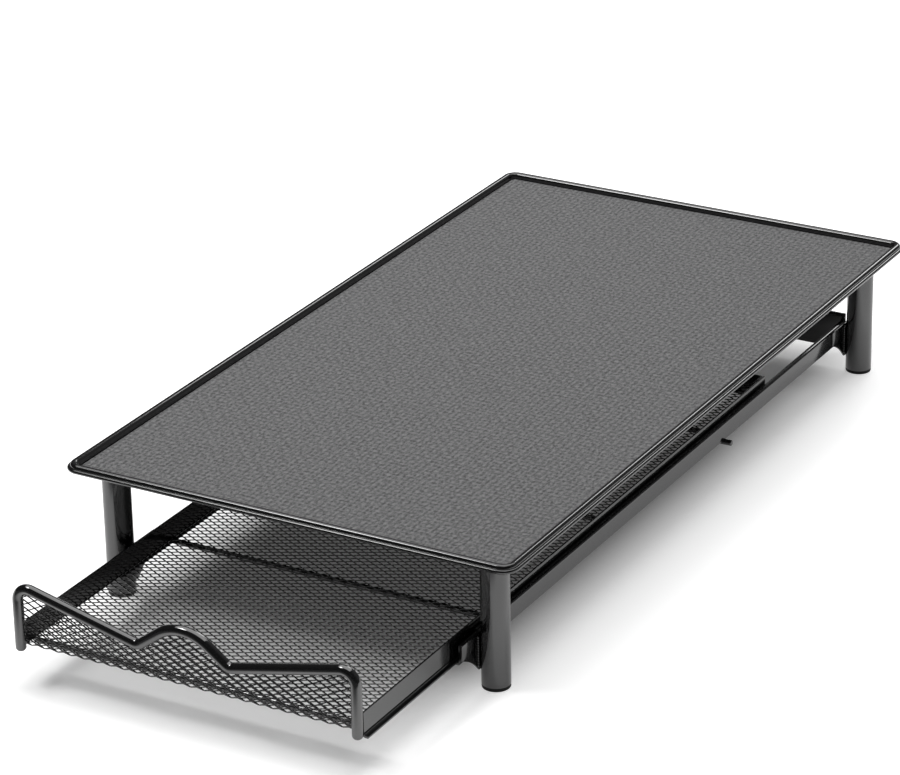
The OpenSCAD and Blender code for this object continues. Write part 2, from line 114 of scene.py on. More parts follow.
def blend_up(tree, value, start, end, low, high):
    """A smooth step of the value, from low at the start to high at the end."""
    node = tree.nodes.new("ShaderNodeMapRange")
    node.interpolation_type = "SMOOTHSTEP"
    for socket, number in zip(node.inputs[1:5], (start, end, low, high)):
        socket.default_value = number
    tree.links.new(value, node.inputs["Value"])
    return node.outputs["Result"]


def tint(tree, factor, first, second):
    """A colour that goes from the first to the second with the factor."""
    node = tree.nodes.new("ShaderNodeMix")
    node.data_type = "RGBA"
    node.inputs["A"].default_value = (*first, 1)
    node.inputs["B"].default_value = (*second, 1)
    tree.links.new(factor, node.inputs["Factor"])
    return node.outputs["Result"]


floor_mesh = bpy.data.meshes.new("floor")
floor_bm = bmesh.new()
bmesh.ops.create_circle(floor_bm, cap_ends=True, segments=96, radius=9)
floor_bm.to_mesh(floor_mesh)
floor_bm.free()
floor = bpy.data.objects.new("floor", floor_mesh)
bpy.context.scene.collection.objects.link(floor)

floor_paint, floor_tree, floor_shader = node_material("studio_floor")
floor_shader.inputs["Roughness"].default_value = 0.9
floor_shader.inputs["Specular IOR Level"].default_value = 0.1
floor_shader.inputs["Emission Color"].default_value = (1, 1, 1, 1)
floor_rays = floor_tree.nodes.new("ShaderNodeLightPath")
floor_place = floor_tree.nodes.new("ShaderNodeTexCoord")
floor_axes = floor_tree.nodes.new("ShaderNodeSeparateXYZ")
floor_tree.links.new(floor_place.outputs["Object"], floor_axes.inputs[0])
# Over a box round the object's footprint the floor's lift falls to a tenth. This is a painted
# shadow under the object, on top of its real cast shadow.
painted_shadow_half_w = 0.095
painted_shadow_half_l = 0.258
seen_lift = 0.6
mirrored_lift = 0.45
beside = sum_up(
    floor_tree, "SUBTRACT", sum_up(floor_tree, "ABSOLUTE", floor_axes.outputs["X"]), painted_shadow_half_w
)
beyond = sum_up(
    floor_tree, "SUBTRACT", sum_up(floor_tree, "ABSOLUTE", floor_axes.outputs["Y"]), painted_shadow_half_l
)
shadow_box_distance = sum_up(floor_tree, "MAXIMUM", beside, beyond)
lift_past_painted_shadow = blend_up(floor_tree, shadow_box_distance, -0.03, 0.015, 0.1, 1)
# For glossy rays the floor more than about 0.3 m in front loses its lift and turns near-black.
# This is a painted dark reflection.
in_front = sum_up(floor_tree, "MULTIPLY", floor_axes.outputs["Y"], -1.0)
bright_near_reflection = blend_up(floor_tree, in_front, 0.265, 0.34, 1, 0.06)
near_gloss = sum_up(floor_tree, "MULTIPLY", floor_rays.outputs["Is Glossy Ray"], bright_near_reflection)
gloss_lift = sum_up(floor_tree, "MULTIPLY", near_gloss, mirrored_lift)
floor_lift = sum_up(
    floor_tree, "MULTIPLY_ADD", floor_rays.outputs["Is Camera Ray"], seen_lift, gloss_lift
)
lift_with_painted_shadow = sum_up(floor_tree, "MULTIPLY", floor_lift, lift_past_painted_shadow)
floor_tree.links.new(lift_with_painted_shadow, floor_shader.inputs["Emission Strength"])
painted_dark_far_floor = sum_up(floor_tree, "SUBTRACT", 1.0, bright_near_reflection)
painted_dark_reflection = sum_up(floor_tree, "MULTIPLY", floor_rays.outputs["Is Glossy Ray"], painted_dark_far_floor)
floor_colour = tint(floor_tree, painted_dark_reflection, (0.86, 0.86, 0.86), (0.03, 0.03, 0.03))
floor_tree.links.new(floor_colour, floor_shader.inputs["Base Color"])
floor_mesh.materials.append(floor_paint)

world = bpy.data.worlds.new("studio")
world.use_nodes = True
bpy.context.scene.world = world
world_tree = world.node_tree
world_rays = world_tree.nodes.new("ShaderNodeLightPath")
world_place = world_tree.nodes.new("ShaderNodeTexCoord")
bright_side = (0.35, 0.92, 0.15)
world_side = world_tree.nodes.new("ShaderNodeVectorMath")
world_side.operation = "DOT_PRODUCT"
world_side.inputs[1].default_value = bright_side
world_tree.links.new(world_place.outputs["Generated"], world_side.inputs[0])
world_gloss = blend_up(world_tree, world_side.outputs["Value"], -0.1, 1.0, 0.03, 0.14)
world_soft = world_tree.nodes.new("ShaderNodeMix")
world_soft.inputs["A"].default_value = 0.2
world_tree.links.new(world_rays.outputs["Is Glossy Ray"], world_soft.inputs["Factor"])
world_tree.links.new(world_gloss, world_soft.inputs["B"])
world_level = world_tree.nodes.new("ShaderNodeMix")
world_level.inputs["B"].default_value = 1.0
world_tree.links.new(world_rays.outputs["Is Camera Ray"], world_level.inputs["Factor"])
world_tree.links.new(world_soft.outputs["Result"], world_level.inputs["A"])
world_light = world_tree.nodes["Background"]
world_light.inputs["Color"].default_value = (1, 1, 1, 1)
world_tree.links.new(world_level.outputs["Result"], world_light.inputs["Strength"])
bpy.context.scene.view_settings.view_transform = "Standard"


# ---- Top tray ----
# A shallow pan pressed from 0.9 mm steel sheet. Its edge is folded up and over into a
# hollow bead, and ends in a small outward roll. Gloss black powder coat.
def effect_group(name, inputs, outputs):
    """A shared effect with named float inputs and outputs; returns it with its two ends."""
    group = bpy.data.node_groups.new(name, "ShaderNodeTree")
    for socket, value in inputs.items():
        made = group.interface.new_socket(
            name=socket, in_out="INPUT", socket_type="NodeSocketFloat"
        )
        made.default_value = value
    for socket in outputs:
        group.interface.new_socket(name=socket, in_out="OUTPUT", socket_type="NodeSocketFloat")
    return group, group.nodes.new("NodeGroupInput"), group.nodes.new("NodeGroupOutput")


def noise(tree, scale, detail=2.0, roughness=0.5, stretch=1.0):
    """Noise over the object's own coordinates; scale is a socket or a number per metre."""
    place = tree.nodes.new("ShaderNodeTexCoord")
    drawn = tree.nodes.new("ShaderNodeVectorMath")
    drawn.operation = "MULTIPLY"
    drawn.inputs[1].default_value = (1, 1 / stretch, 1)
    tree.links.new(place.outputs["Object"], drawn.inputs[0])
    texture = tree.nodes.new("ShaderNodeTexNoise")
    texture.inputs["Detail"].default_value = detail
    texture.inputs["Roughness"].default_value = roughness
    tree.links.new(drawn.outputs["Vector"], texture.inputs["Vector"])
    if isinstance(scale, bpy.types.NodeSocket):
        tree.links.new(scale, texture.inputs["Scale"])
    else:
        texture.inputs["Scale"].default_value = scale
    return texture.outputs["Fac"]


def roughen(tree, shader, height, depth, strength=1):
    """Feeds the shader's normal from a height; depth is in millimetres."""
    bump = tree.nodes.new("ShaderNodeBump")
    bump.inputs["Strength"].default_value = strength
    bump.inputs["Distance"].default_value = depth * mm
    tree.links.new(height, bump.inputs["Height"])
    tree.links.new(bump.outputs["Normal"], shader.inputs["Normal"])


coat_group, coat_in, coat_out = effect_group(
    "powder_coat_surface",
    {"Peel Scale": 650, "Roughness": 0.2, "Handling": 0.06},
    ["Peel", "Roughness", "Dust"],
)
coat_peel = noise(coat_group, coat_in.outputs["Peel Scale"], 1.5)
coat_group.links.new(coat_peel, coat_out.inputs["Peel"])
coat_patches = noise(coat_group, 34, 4.0, 0.6)
coat_spread = sum_up(coat_group, "SUBTRACT", coat_patches, 0.5)
coat_shift = sum_up(coat_group, "MULTIPLY", coat_spread, coat_in.outputs["Handling"])
coat_rough = sum_up(coat_group, "MULTIPLY_ADD", coat_shift, 2.0, coat_in.outputs["Roughness"])
coat_group.links.new(coat_rough, coat_out.inputs["Roughness"])
coat_dust = sum_up(coat_group, "SUBTRACT", noise(coat_group, 260, 6.0, 0.7), 0.45)
coat_group.links.new(sum_up(coat_group, "MAXIMUM", coat_dust, 0.0), coat_out.inputs["Dust"])


def powder_coat(name, black, roughness, peel_scale, peel_depth, ior):
    """Black powder coat: a faint orange-peel surface, uneven gloss and a trace of dust."""
    finish, tree, shader = node_material(name)
    surface = tree.nodes.new("ShaderNodeGroup")
    surface.node_tree = coat_group
    surface.inputs["Peel Scale"].default_value = peel_scale
    surface.inputs["Roughness"].default_value = roughness
    dusty = black * 2.2
    colour = tint(
        tree, surface.outputs["Dust"], (black, black, black * 1.06), (dusty, dusty, dusty)
    )
    tree.links.new(colour, shader.inputs["Base Color"])
    tree.links.new(surface.outputs["Roughness"], shader.inputs["Roughness"])
    roughen(tree, shader, surface.outputs["Peel"], peel_depth)
    shader.inputs["IOR"].default_value = ior
    return finish


def in_mm(node):
    """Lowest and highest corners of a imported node, in millimetres."""
    return [Vector(corner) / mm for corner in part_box(node)]


def outline(bm, corners, closed=True):
    """A chain or face through the corners, each (x, y, z, radius), rounded to its radius."""
    verts = [bm.verts.new(corner[:3]) for corner in corners]
    if closed:
        bm.faces.new(verts)
    else:
        for one, two in zip(verts, verts[1:]):
            bm.edges.new((one, two))
    for vert, corner in zip(verts, corners):
        if corner[3]:
            bmesh.ops.bevel(
                bm, geom=[vert], offset=corner[3], offset_type="OFFSET", segments=6,
                profile=0.5, affect="VERTICES", material=-1,
            )


def extrude_edges(bm, edges, move):
    """Draws a chain of edges out by a straight move; returns the new chain."""
    made = bmesh.ops.extrude_edge_only(bm, edges=edges)["geom"]
    bmesh.ops.translate(bm, vec=move, verts=[v for v in made if isinstance(v, bmesh.types.BMVert)])
    return [e for e in made if isinstance(e, bmesh.types.BMEdge)]


def spin_edges(bm, edges, centre, axis, angle, steps):
    """Turns a chain of edges about an axis; returns the last chain."""
    verts = list(dict.fromkeys(v for e in edges for v in e.verts))
    made = bmesh.ops.spin(
        bm, geom=verts + list(edges), cent=centre, axis=axis, angle=angle, steps=steps,
        use_merge=False,
    )["geom_last"]
    return [e for e in made if isinstance(e, bmesh.types.BMEdge)]


def soften(bm, radius):
    """Rounds every edge that turns by more than 40 degrees."""
    edges = [e for e in bm.edges if e.is_manifold and e.calc_face_angle() > radians(40)]
    bmesh.ops.bevel(
        bm, geom=edges, offset=radius, offset_type="OFFSET", segments=2, profile=0.5,
        affect="EDGES", material=-1, clamp_overlap=True,
    )


def finished(name, bm, finish, crease=50):
    """Makes the piece from its bmesh, which is in millimetres, at its place in the frame."""
    bmesh.ops.remove_doubles(bm, verts=bm.verts, dist=0.0005)
    bmesh.ops.recalc_face_normals(bm, faces=bm.faces)
    bmesh.ops.scale(bm, vec=(mm, mm, mm), verts=bm.verts)
    mesh = bpy.data.meshes.new(name)
    bm.to_mesh(mesh)
    bm.free()
    mesh.shade_smooth()
    mesh.set_sharp_from_angle(angle=radians(crease))
    mesh.materials.append(finish)
    piece = bpy.data.objects.new(name, mesh)
    bpy.context.scene.collection.objects.link(piece)
    return piece


coated_sheet = powder_coat("gloss_black_sheet", 0.005, 0.1, 620, 0.006, 1.75)
tray_low, tray_high = in_mm("top_tray")
tray_middle = (tray_low + tray_high) / 2
sheet_t = 0.9
corner_r = 8.0
bead_w = 3.6
lip_out = 1.3
lip_h = 1.85
rim_rise = 4.9
lip_drop = 2.6
pan_overlap = 0.3
rim_top = tray_high.z
pan_top = rim_top - rim_rise
bead_out = corner_r - lip_out
bead_in = bead_out - bead_w
lip_low = rim_top - lip_drop - lip_h / 2
rim_corners = [
    (bead_in - pan_overlap, pan_top, 0),
    (bead_in, pan_top, 0.28),
    (bead_in, rim_top, 1.75),
    (bead_out, rim_top, 1.5),
    (bead_out, lip_low + lip_h, 0.12),
    (corner_r, lip_low + lip_h, 0.9),
    (corner_r, lip_low, 0.92),
    (bead_out - sheet_t, lip_low, 0.8),
    (bead_out - sheet_t, rim_top - sheet_t, 0.29),
    (bead_in + sheet_t, rim_top - sheet_t, 0.29),
    (bead_in + sheet_t, pan_top - sheet_t, 0.8),
    (bead_in - pan_overlap, pan_top - sheet_t, 0),
]
half_w = (tray_high.x - tray_low.x) / 2 - corner_r
half_l = (tray_high.y - tray_low.y) / 2 - corner_r
tray_bm = bmesh.new()
outline(
    tray_bm,
    [(half_w + x, tray_middle.y - half_l, z, r) for x, z, r in rim_corners],
    closed=False,
)
rim_chain = list(tray_bm.edges)
corner_places = [(half_w, half_l), (-half_w, half_l), (-half_w, -half_l), (half_w, -half_l)]
side_moves = [(0, 2 * half_l), (-2 * half_w, 0), (0, -2 * half_l), (2 * half_w, 0)]
for (x, y), (dx, dy) in zip(corner_places, side_moves):
    rim_chain = extrude_edges(tray_bm, rim_chain, (dx, dy, 0))
    rim_chain = spin_edges(
        tray_bm, rim_chain, (x, tray_middle.y + y, 0), (0, 0, 1), pi / 2, 14
    )
bmesh.ops.remove_doubles(tray_bm, verts=tray_bm.verts, dist=0.001)
bmesh.ops.holes_fill(tray_bm, edges=[e for e in tray_bm.edges if e.is_boundary], sides=0)
tray = finished("tray_pan", tray_bm, coated_sheet)
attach(tray, "stand")
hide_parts("top_tray")


# ---- Mat ----
# A loose non-slip mat of plain-woven coated yarn, 2 mm thick, laid in the tray.
# Its yarns cross about every 3 mm, and its cut edge is pressed round.
def block(bm, low, high):
    """Adds a box between its lowest and highest corners."""
    verts = bmesh.ops.create_cube(bm, size=1)["verts"]
    bmesh.ops.scale(bm, vec=high - low, verts=verts)
    bmesh.ops.translate(bm, vec=(low + high) / 2, verts=verts)


mat_low, mat_high = in_mm("top_mat")
mat_middle = (mat_low + mat_high) / 2
mat_corner_r = 2.8
mat_edge_r = 0.6
mat_bm = bmesh.new()
block(mat_bm, mat_low, mat_high)
bmesh.ops.bevel(
    mat_bm, geom=[e for e in mat_bm.edges if abs(e.verts[0].co.z - e.verts[1].co.z) > 1],
    offset=mat_corner_r, offset_type="OFFSET", segments=12, profile=0.5, affect="EDGES",
    material=-1,
)
bmesh.ops.bevel(
    mat_bm, geom=[e for e in mat_bm.edges if min(v.co.z for v in e.verts) > mat_middle.z],
    offset=mat_edge_r, offset_type="OFFSET", segments=3, profile=0.5, affect="EDGES",
    material=-1,
)
mat_cloth, mat_tree, mat_shader = node_material("woven_mat_face")
mat_shader.inputs["Specular IOR Level"].default_value = 0.15
mat_place = mat_tree.nodes.new("ShaderNodeTexCoord")
mat_axes = mat_tree.nodes.new("ShaderNodeSeparateXYZ")
mat_tree.links.new(mat_place.outputs["Object"], mat_axes.inputs[0])
yarn_x = 2.95
yarn_y = 3.08
yarn_wander = 2.0
warp_rise = 0.6
weft_rise = 0.45
crossing_rise = 0.22
slub_rise = 4.6
weave_depth = 0.17


def yarn_wave(axis, pitch, wander_scale):
    """Cosine across the yarns, whose lines wander a little; the pitch is in millimetres."""
    wander = sum_up(mat_tree, "SUBTRACT", noise(mat_tree, wander_scale, 1.0), 0.5)
    turned = sum_up(mat_tree, "MULTIPLY", mat_axes.outputs[axis], pi / (pitch * mm))
    wandered = sum_up(mat_tree, "MULTIPLY_ADD", wander, yarn_wander, turned)
    return sum_up(mat_tree, "COSINE", wandered)


across = yarn_wave("X", yarn_x, 210)
along = yarn_wave("Y", yarn_y, 240)
over_under = sum_up(mat_tree, "MULTIPLY", across, along)
warp = sum_up(mat_tree, "MULTIPLY", sum_up(mat_tree, "MULTIPLY", across, across), warp_rise)
weft = sum_up(mat_tree, "MULTIPLY", sum_up(mat_tree, "MULTIPLY", along, along), weft_rise)
yarns = sum_up(mat_tree, "ADD", warp, weft)
weave = sum_up(mat_tree, "MULTIPLY_ADD", over_under, crossing_rise, yarns)
yarn_slub = sum_up(mat_tree, "SUBTRACT", noise(mat_tree, 950, 2.0, 0.7, stretch=1.8), 0.5)
weave_height = sum_up(mat_tree, "MULTIPLY_ADD", yarn_slub, slub_rise, weave)
roughen(mat_tree, mat_shader, weave_height, weave_depth, 0.8)
# The colour follows the weave's height. The slub gives a random tone along the yarns, and painted
# shade darkens the hollows between them.
yarn_tone_and_hollow_shade = mat_tree.nodes.new("ShaderNodeMapRange")
yarn_tone_and_hollow_shade.inputs["From Min"].default_value = -0.45
yarn_tone_and_hollow_shade.inputs["From Max"].default_value = 1.45
mat_tree.links.new(weave_height, yarn_tone_and_hollow_shade.inputs["Value"])
yarn_colour_and_painted_shade = tint(
    mat_tree, yarn_tone_and_hollow_shade.outputs["Result"], (0.072, 0.072, 0.073), (0.215, 0.215, 0.217)
)
mat_tree.links.new(yarn_colour_and_painted_shade, mat_shader.inputs["Base Color"])
mat_rough = sum_up(mat_tree, "MULTIPLY_ADD", noise(mat_tree, 90, 4.0), 0.1, 0.78)
mat_tree.links.new(mat_rough, mat_shader.inputs["Roughness"])
mat = finished("mat", mat_bm, mat_cloth)
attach(mat, "stand")
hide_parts("top_mat")


# ---- Legs and their feet ----
# Four 13 mm steel tubes with 1.2 mm walls, screwed up against the tray. Each stands on
# a moulded black cap that is pushed into its lower end.
def turn_solid(bm, centre):
    """Turns an outline, drawn in XZ beside the Z axis, into a solid that stands at a centre."""
    bmesh.ops.delete(bm, geom=bm.faces[:], context="FACES_ONLY")
    on_axis = [e for e in bm.edges if all(abs(v.co.x) < 0.01 for v in e.verts)]
    bmesh.ops.delete(bm, geom=on_axis, context="EDGES")
    bmesh.ops.spin(
        bm, geom=bm.verts[:] + bm.edges[:], cent=(0, 0, 0), axis=(0, 0, 1), angle=2 * pi,
        steps=72, use_merge=True,
    )
    bmesh.ops.translate(bm, vec=(centre.x, centre.y, 0), verts=bm.verts)


coated_tube = powder_coat("satin_black_tube", 0.007, 0.13, 700, 0.006, 1.85)
cap_plastic, cap_tree, cap_shader = node_material("moulded_cap")
cap_shader.inputs["Specular IOR Level"].default_value = 0.2
cap_grain = noise(cap_tree, 3200, 2.0)
roughen(cap_tree, cap_shader, cap_grain, 0.02)
cap_colour = tint(
    cap_tree, noise(cap_tree, 400, 3.0), (0.003, 0.003, 0.003), (0.008, 0.008, 0.008)
)
cap_tree.links.new(cap_colour, cap_shader.inputs["Base Color"])
cap_rough = sum_up(cap_tree, "MULTIPLY_ADD", cap_grain, 0.15, 0.42)
cap_tree.links.new(cap_rough, cap_shader.inputs["Roughness"])
leg_wall = 1.2
tread_t = 1.6
tread_inset = 0.1
stem_gap = 0.05
stem_wall = 1.3
for end in ("front", "rear"):
    for side in ("left", "right"):
        low, high = in_mm(f"leg_{end}_{side}")
        centre = (low + high) / 2
        leg_r = (high.x - low.x) / 2
        tube_bm = bmesh.new()
        outline(
            tube_bm,
            [
                (leg_r - leg_wall, 0, low.z, 0), (leg_r, 0, low.z, 0.35),
                (leg_r, 0, high.z, 0.1), (leg_r - leg_wall, 0, high.z, 0),
            ],
        )
        turn_solid(tube_bm, centre)
        tube = finished(f"leg_tube_{end}_{side}", tube_bm, coated_tube)
        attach(tube, "stand")
        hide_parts(f"leg_{end}_{side}")

        stem_top = in_mm(f"foot_cap_{end}_{side}")[1].z
        tread_r = leg_r - tread_inset
        stem_r = leg_r - leg_wall - stem_gap
        bore_r = stem_r - stem_wall
        cap_bm = bmesh.new()
        outline(
            cap_bm,
            [
                (0, 0, 0, 0), (tread_r, 0, 0, 0.5), (tread_r, 0, tread_t, 0.2),
                (stem_r, 0, tread_t, 0), (stem_r, 0, stem_top, 0.4),
                (bore_r, 0, stem_top, 0.2), (bore_r, 0, tread_t, 0), (0, 0, tread_t, 0),
            ],
        )
        turn_solid(cap_bm, centre)
        cap = finished(f"foot_{end}_{side}", cap_bm, cap_plastic)
        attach(cap, "stand")
        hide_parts(f"foot_cap_{end}_{side}")


# ---- Rails ----
# One folded channel along each side, of 0.9 mm sheet. The wide lower ledge carries the
# drawer's runner, and the narrow upper lip keeps it from tipping when it is drawn out.
def extrude_faces(bm, faces, move):
    """Draws faces out into a solid by a straight move."""
    made = bmesh.ops.extrude_face_region(bm, geom=faces)["geom"]
    bmesh.ops.translate(bm, vec=move, verts=[v for v in made if isinstance(v, bmesh.types.BMVert)])


ledge_w = 4.0
hold_w = 2.5
fold_out_r = 1.1
fold_in_r = 0.3
cut_edge_r = 0.2
lip_overlap = 0.01
for side, hand in (("left", -1), ("right", 1)):
    low, high = in_mm(f"rail_{side}")
    leg_low, leg_high = in_mm(f"leg_front_{side}")
    lip_y = (leg_low.y + leg_high.y) / 2 - 1
    web_x = max(abs(low.x), abs(high.x))
    rail_bm = bmesh.new()
    ledge = [
        (web_x - sheet_t, low.z + sheet_t, fold_in_r),
        (web_x - ledge_w, low.z + sheet_t, cut_edge_r), (web_x - ledge_w, low.z, cut_edge_r),
    ]
    upper_lip = [
        (web_x, high.z, fold_out_r), (web_x - hold_w, high.z, cut_edge_r),
        (web_x - hold_w, high.z - sheet_t, cut_edge_r),
        (web_x - sheet_t, high.z - sheet_t, fold_in_r),
    ]
    plain_top = [(web_x, high.z, cut_edge_r), (web_x - sheet_t, high.z, cut_edge_r)]
    stretches = [
        (low.y, lip_y - low.y + lip_overlap, plain_top), (lip_y, high.y - lip_y, upper_lip),
    ]
    for y, length, top in stretches:
        section = [(web_x, low.z, fold_out_r)] + top + ledge
        known = set(rail_bm.faces)
        outline(rail_bm, [(hand * x, y, z, r) for x, z, r in section])
        extrude_faces(rail_bm, [f for f in rail_bm.faces if f not in known], (0, length, 0))
    rail = finished(f"rail_channel_{side}", rail_bm, coated_sheet)
    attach(rail, "stand")
    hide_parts(f"rail_{side}")


# ---- Gusset brackets ----
# A 1 mm plate with hollow lower edges joins each rail to its leg. It is welded to the
# tube with two short vertical beads.
bracket_t = 1
bracket_half = 17.5
bracket_foot = 3.0
upright_edge = 2.0
sweep_r = 34.0
sweep_steps = 10
weld_y = 3.9
weld_x = 1.3
weld_foot = 2.7
weld_head = 1.7
weld_lumps = 12
for end in ("front", "rear"):
    for side, hand in (("left", -1), ("right", 1)):
        node = f"bracket_{end}_{side}"
        low, high = in_mm(node)
        leg_low, leg_high = in_mm(f"leg_{end}_{side}")
        leg_y = (leg_low.y + leg_high.y) / 2
        plate_in = min(abs(low.x), abs(high.x))
        top = high.z
        edge_z = in_mm(f"rail_{side}")[0].z + upright_edge
        bracket_bm = bmesh.new()
        chord = Vector((bracket_half - bracket_foot, edge_z - low.z))
        middle = Vector((bracket_half + bracket_foot, edge_z + low.z)) / 2
        out = Vector((chord.y, -chord.x)).normalized()
        hollow = middle + out * sqrt(sweep_r ** 2 - (chord.length / 2) ** 2)
        start = atan2(edge_z - hollow.y, bracket_half - hollow.x)
        stop = atan2(low.z - hollow.y, bracket_foot - hollow.x)
        angles = [start + (stop - start) * k / sweep_steps for k in range(sweep_steps + 1)]
        arc = [(hollow.x + sweep_r * cos(a), hollow.y + sweep_r * sin(a)) for a in angles]
        profile = [(-bracket_half, top), (bracket_half, top)] + arc
        profile += [(-y, z) for y, z in reversed(arc)]
        outline(bracket_bm, [(hand * plate_in, leg_y + y, z, 0) for y, z in profile])
        extrude_faces(bracket_bm, bracket_bm.faces[:], (hand * bracket_t, 0, 0))
        soften(bracket_bm, 0.2)
        weld_pitch = (top - low.z - weld_foot - weld_head) / (weld_lumps - 1)
        for way in (-1, 1):
            for k in range(weld_lumps):
                weld_z = low.z + weld_foot + k * weld_pitch
                place = Matrix.Translation(
                    (hand * (plate_in + weld_x), leg_y + way * weld_y, weld_z)
                )
                tilt = Matrix.Rotation(radians(25 * way), 4, "X")
                bmesh.ops.create_uvsphere(
                    bracket_bm, u_segments=12, v_segments=8, radius=1,
                    matrix=place @ tilt @ Matrix.Diagonal((0.75, 1.15, 0.85, 1)),
                )
        bracket = finished(f"gusset_{end}_{side}", bracket_bm, coated_sheet)
        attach(bracket, "stand")
        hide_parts(node)


# ---- Rear plate ----
# A plain 1 mm steel strip on edge between the two rails. It squares the stand and stops
# the drawer at the back.
low, high = in_mm("rear_plate")
plate_bm = bmesh.new()
block(plate_bm, low, high)
soften(plate_bm, 0.25)
rear_plate = finished("rear_tie", plate_bm, coated_sheet)
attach(rear_plate, "stand")
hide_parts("rear_plate")


# ---- Leg screws and plugs ----
# Zinc-plated plugs are pressed into the tube tops, and countersunk screws hold the tray
# down to them. Both are hidden under the mat.
zinc, zinc_tree, zinc_shader = node_material("zinc_plate")
zinc_shader.inputs["Metallic"].default_value = 1
zinc_flakes = noise(zinc_tree, 900, 5.0, 0.7)
zinc_colour = tint(zinc_tree, zinc_flakes, (0.50, 0.51, 0.53), (0.66, 0.66, 0.66))
zinc_tree.links.new(zinc_colour, zinc_shader.inputs["Base Color"])
zinc_rough = sum_up(zinc_tree, "MULTIPLY_ADD", zinc_flakes, 0.2, 0.25)
zinc_tree.links.new(zinc_rough, zinc_shader.inputs["Roughness"])
zinc_parts = ["leg_screws"]
zinc_parts += [f"leg_plug_{end}_{side}" for end in ("front", "rear") for side in ("left", "right")]
for node in zinc_parts:
    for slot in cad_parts[node].material_slots:
        slot.material = zinc


# ---- Front wire ----
# One 4.8 mm steel rod bent into an upside-down U whose top dips twice and rises to a
# hump in the middle. The mesh is welded to its back.
coated_wire = powder_coat("gloss_black_wire", 0.005, 0.08, 800, 0.005, 2.0)


def bent_rod(bm, corners, radii, r, segments=24):
    """Sweeps a ring along a path; each inner corner has its bend radius."""
    path = [Vector(c) for c in corners]
    heading = (path[1] - path[0]).normalized()
    facing = heading.to_track_quat("Z", "Y").to_matrix().to_4x4()
    ring = bmesh.ops.create_circle(
        bm, segments=segments, radius=r, matrix=Matrix.Translation(path[0]) @ facing
    )["verts"]
    chain = list(dict.fromkeys(e for v in ring for e in v.link_edges))
    reached = path[0]
    for before, corner, after, bend_r in zip(path, path[1:], path[2:], radii):
        inward = (corner - before).normalized()
        outward = (after - corner).normalized()
        angle = inward.angle(outward)
        reach = bend_r * tan(angle / 2)
        bend_start = corner - inward * reach
        chain = extrude_edges(bm, chain, bend_start - reached)
        axis = inward.cross(outward).normalized()
        centre = bend_start + axis.cross(inward) * bend_r
        steps = max(4, ceil(angle / radians(4)))
        chain = spin_edges(bm, chain, centre, axis, angle, steps)
        reached = corner + outward * reach
    extrude_edges(bm, chain, path[-1] - reached)


def round_ends(bm, r):
    """Closes the open ends of rods and rounds them over."""
    made = bmesh.ops.holes_fill(bm, edges=[e for e in bm.edges if e.is_boundary], sides=0)
    rims = [e for f in made["faces"] for e in f.edges]
    bmesh.ops.bevel(
        bm, geom=rims, offset=r, offset_type="OFFSET", segments=5, profile=0.5,
        affect="EDGES", material=-1, clamp_overlap=True,
    )


wire_low, wire_high = in_mm("front_wire")
wire_y = (wire_low.y + wire_high.y) / 2
wire_r = (wire_high.y - wire_low.y) / 2
upright_x = wire_high.x - wire_r
runner_z = in_mm("drawer_side_right")[0].z
wave_end_z = runner_z + 32.2
wave_dip_z = runner_z + 17.8
wave_peak_z = runner_z + 34.6
wave_dip_x = 22.6
end_bend_r = 6.0
dip_bend_r = 4.5
peak_bend_r = 20.0
wave_corners = [
    (-upright_x, wire_y, wire_low.z), (-upright_x, wire_y, wave_end_z),
    (-wave_dip_x, wire_y, wave_dip_z), (0, wire_y, wave_peak_z),
    (wave_dip_x, wire_y, wave_dip_z), (upright_x, wire_y, wave_end_z),
    (upright_x, wire_y, wire_low.z),
]
wire_bm = bmesh.new()
bent_rod(
    wire_bm, wave_corners, [end_bend_r, dip_bend_r, peak_bend_r, dip_bend_r, end_bend_r], wire_r
)
round_ends(wire_bm, wire_r * 0.8)
front_wire = finished("waved_wire", wire_bm, coated_wire, 60)
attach(front_wire, "drawer")
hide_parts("front_wire")


# ---- Mesh of the drawer ----
# Expanded steel, slit and drawn into long diamonds, in one sheet that stands behind the
# wire, folds back at the bottom and runs on as the drawer's floor. Gloss black.
coated_mesh = powder_coat("gloss_black_mesh", 0.005, 0.12, 1500, 0.005, 1.7)
panel_low, panel_high = in_mm("floor_mesh")
mesh_t = 0.4
mesh_w = panel_high.x - panel_low.x
diamonds_across = 25
diamond_w = mesh_w / diamonds_across
diamond_h = 3.5
strand_w = 0.5
strand_tilt = 0.12
fold_r = 0.9
fold_top = panel_low.z + mesh_t / 2 + fold_r
fold_y = panel_low.y + fold_r
mesh_rise = wave_end_z - fold_top
run_back = panel_high.y - fold_y
fold_length = fold_r * pi / 2
flat_length = mesh_rise + fold_length + run_back
cells = ceil((mesh_w / diamond_w + flat_length / diamond_h) / 2) * 2 + 2
mesh_bm = bmesh.new()
bmesh.ops.create_grid(mesh_bm, x_segments=cells, y_segments=cells, size=cells / 2)
bmesh.ops.rotate(
    mesh_bm, cent=(0, 0, 0), matrix=Matrix.Rotation(pi / 4, 3, "Z"), verts=mesh_bm.verts
)
bmesh.ops.scale(
    mesh_bm, vec=(diamond_w / sqrt(2), diamond_h / sqrt(2), 1), verts=mesh_bm.verts
)
bmesh.ops.translate(mesh_bm, vec=(0, flat_length / 2 - mesh_rise, 0), verts=mesh_bm.verts)
for edge, outward in (
    ((panel_high.x, 0, 0), (1, 0, 0)), ((panel_low.x, 0, 0), (-1, 0, 0)),
    ((0, -mesh_rise, 0), (0, -1, 0)), ((0, flat_length - mesh_rise, 0), (0, 1, 0)),
):
    bmesh.ops.bisect_plane(
        mesh_bm, geom=mesh_bm.verts[:] + mesh_bm.edges[:] + mesh_bm.faces[:], dist=0.01,
        plane_co=edge, plane_no=outward, clear_outer=True,
    )


